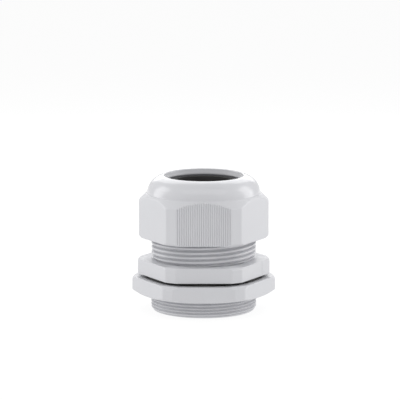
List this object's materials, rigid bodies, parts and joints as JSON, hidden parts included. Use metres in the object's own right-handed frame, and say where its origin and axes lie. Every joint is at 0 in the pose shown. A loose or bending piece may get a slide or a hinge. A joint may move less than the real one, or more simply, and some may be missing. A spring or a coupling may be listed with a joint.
{
  "type": "cable gland",
  "caption": "Moulded plastic cable gland: domed cap nut over a clamping claw and rubber seal, hexagon body with entry thread, gasket and locknut.",
  "frame": {"origin": "centre of the entry thread's lower end, on the gland's axis", "axes": "+Z along the axis, out of the domed cap; -Y square to a flat of each hexagon; +X through a corner of each hexagon"},
  "size_m": [0.068, 0.0616, 0.0644],
  "materials": {
    "nylon": "light grey moulded nylon, satin, with a slightly glossy dome",
    "rubber": "black rubber, matt"
  },
  "bodies": {
    "gland_body": {"body": "nylon"},
    "gasket": {"gasket": "rubber"},
    "locknut": {"locknut": "nylon"},
    "clamp_insert": {"claw_ring": "nylon", "seal": "rubber"},
    "cap": {"cap_nut": "nylon"},
    "finger_01": {"claw_finger_01": "nylon"},
    "finger_02": {"claw_finger_02": "nylon"},
    "finger_03": {"claw_finger_03": "nylon"},
    "finger_04": {"claw_finger_04": "nylon"},
    "finger_05": {"claw_finger_05": "nylon"},
    "finger_06": {"claw_finger_06": "nylon"},
    "finger_07": {"claw_finger_07": "nylon"},
    "finger_08": {"claw_finger_08": "nylon"},
    "finger_09": {"claw_finger_09": "nylon"},
    "finger_10": {"claw_finger_10": "nylon"},
    "finger_11": {"claw_finger_11": "nylon"},
    "finger_12": {"claw_finger_12": "nylon"},
    "finger_13": {"claw_finger_13": "nylon"},
    "finger_14": {"claw_finger_14": "nylon"}
  },
  "joints": [
    {"name": "cap_turn", "type": "hinge", "parent": "gland_body", "child": "clamp_insert", "pos_m": [0, 0, 0.0413], "axis": [0, 0, 1], "range_deg": [-477, 180], "deforming": ["seal"]},
    {"name": "cap_travel", "type": "slide", "parent": "clamp_insert", "child": "cap", "axis": [0, 0, 1], "range_m": [-0.006, 0.0023]},
    {"name": "locknut_travel", "type": "slide", "parent": "gland_body", "child": "gasket", "axis": [0, 0, 1], "range_m": [-0.008, 0]},
    {"name": "locknut_turn", "type": "hinge", "parent": "gasket", "child": "locknut", "pos_m": [0, 0, 0.0121], "axis": [0, 0, 1], "range_deg": [-1900, 0]},
    {"name": "finger_bend_01", "type": "hinge", "parent": "clamp_insert", "child": "finger_01", "pos_m": [0.02125, 0.00485, 0.0448], "axis": [0.2225, -0.9749, 0], "range_deg": [-6.2, 16.4]},
    {"name": "finger_bend_02", "type": "hinge", "parent": "clamp_insert", "child": "finger_02", "pos_m": [0.01704, 0.01359, 0.0448], "axis": [0.6235, -0.7818, 0], "range_deg": [-6.2, 16.4]},
    {"name": "finger_bend_03", "type": "hinge", "parent": "clamp_insert", "child": "finger_03", "pos_m": [0.00946, 0.01964, 0.0448], "axis": [0.901, -0.4339, 0], "range_deg": [-6.2, 16.4]},
    {"name": "finger_bend_04", "type": "hinge", "parent": "clamp_insert", "child": "finger_04", "pos_m": [0, 0.0218, 0.0448], "axis": [1, 0, 0], "range_deg": [-6.2, 16.4]},
    {"name": "finger_bend_05", "type": "hinge", "parent": "clamp_insert", "child": "finger_05", "pos_m": [-0.00946, 0.01964, 0.0448], "axis": [0.901, 0.4339, 0], "range_deg": [-6.2, 16.4]},
    {"name": "finger_bend_06", "type": "hinge", "parent": "clamp_insert", "child": "finger_06", "pos_m": [-0.01704, 0.01359, 0.0448], "axis": [0.6235, 0.7818, 0], "range_deg": [-6.2, 16.4]},
    {"name": "finger_bend_07", "type": "hinge", "parent": "clamp_insert", "child": "finger_07", "pos_m": [-0.02125, 0.00485, 0.0448], "axis": [0.2225, 0.9749, 0], "range_deg": [-6.2, 16.4]},
    {"name": "finger_bend_08", "type": "hinge", "parent": "clamp_insert", "child": "finger_08", "pos_m": [-0.02125, -0.00485, 0.0448], "axis": [-0.2225, 0.9749, 0], "range_deg": [-6.2, 16.4]},
    {"name": "finger_bend_09", "type": "hinge", "parent": "clamp_insert", "child": "finger_09", "pos_m": [-0.01704, -0.01359, 0.0448], "axis": [-0.6235, 0.7818, 0], "range_deg": [-6.2, 16.4]},
    {"name": "finger_bend_10", "type": "hinge", "parent": "clamp_insert", "child": "finger_10", "pos_m": [-0.00946, -0.01964, 0.0448], "axis": [-0.901, 0.4339, 0], "range_deg": [-6.2, 16.4]},
    {"name": "finger_bend_11", "type": "hinge", "parent": "clamp_insert", "child": "finger_11", "pos_m": [0, -0.0218, 0.0448], "axis": [-1, 0, 0], "range_deg": [-6.2, 16.4]},
    {"name": "finger_bend_12", "type": "hinge", "parent": "clamp_insert", "child": "finger_12", "pos_m": [0.00946, -0.01964, 0.0448], "axis": [-0.901, -0.4339, 0], "range_deg": [-6.2, 16.4]},
    {"name": "finger_bend_13", "type": "hinge", "parent": "clamp_insert", "child": "finger_13", "pos_m": [0.01704, -0.01359, 0.0448], "axis": [-0.6235, -0.7818, 0], "range_deg": [-6.2, 16.4]},
    {"name": "finger_bend_14", "type": "hinge", "parent": "clamp_insert", "child": "finger_14", "pos_m": [0.02125, -0.00485, 0.0448], "axis": [-0.2225, -0.9749, 0], "range_deg": [-6.2, 16.4]}
  ],
  "couplings": [
    {"joint": "cap_travel", "follows": "cap_turn", "m_per_rad": 0.00071938},
    {"joint": "locknut_travel", "follows": "locknut_turn", "m_per_rad": 0.00023873},
    {"joint": "finger_bend_01", "follows": "cap_turn", "ratio": -0.034172},
    {"joint": "finger_bend_02", "follows": "cap_turn", "ratio": -0.034172},
    {"joint": "finger_bend_03", "follows": "cap_turn", "ratio": -0.034172},
    {"joint": "finger_bend_04", "follows": "cap_turn", "ratio": -0.034172},
    {"joint": "finger_bend_05", "follows": "cap_turn", "ratio": -0.034172},
    {"joint": "finger_bend_06", "follows": "cap_turn", "ratio": -0.034172},
    {"joint": "finger_bend_07", "follows": "cap_turn", "ratio": -0.034172},
    {"joint": "finger_bend_08", "follows": "cap_turn", "ratio": -0.034172},
    {"joint": "finger_bend_09", "follows": "cap_turn", "ratio": -0.034172},
    {"joint": "finger_bend_10", "follows": "cap_turn", "ratio": -0.034172},
    {"joint": "finger_bend_11", "follows": "cap_turn", "ratio": -0.034172},
    {"joint": "finger_bend_12", "follows": "cap_turn", "ratio": -0.034172},
    {"joint": "finger_bend_13", "follows": "cap_turn", "ratio": -0.034172},
    {"joint": "finger_bend_14", "follows": "cap_turn", "ratio": -0.034172}
  ]
}
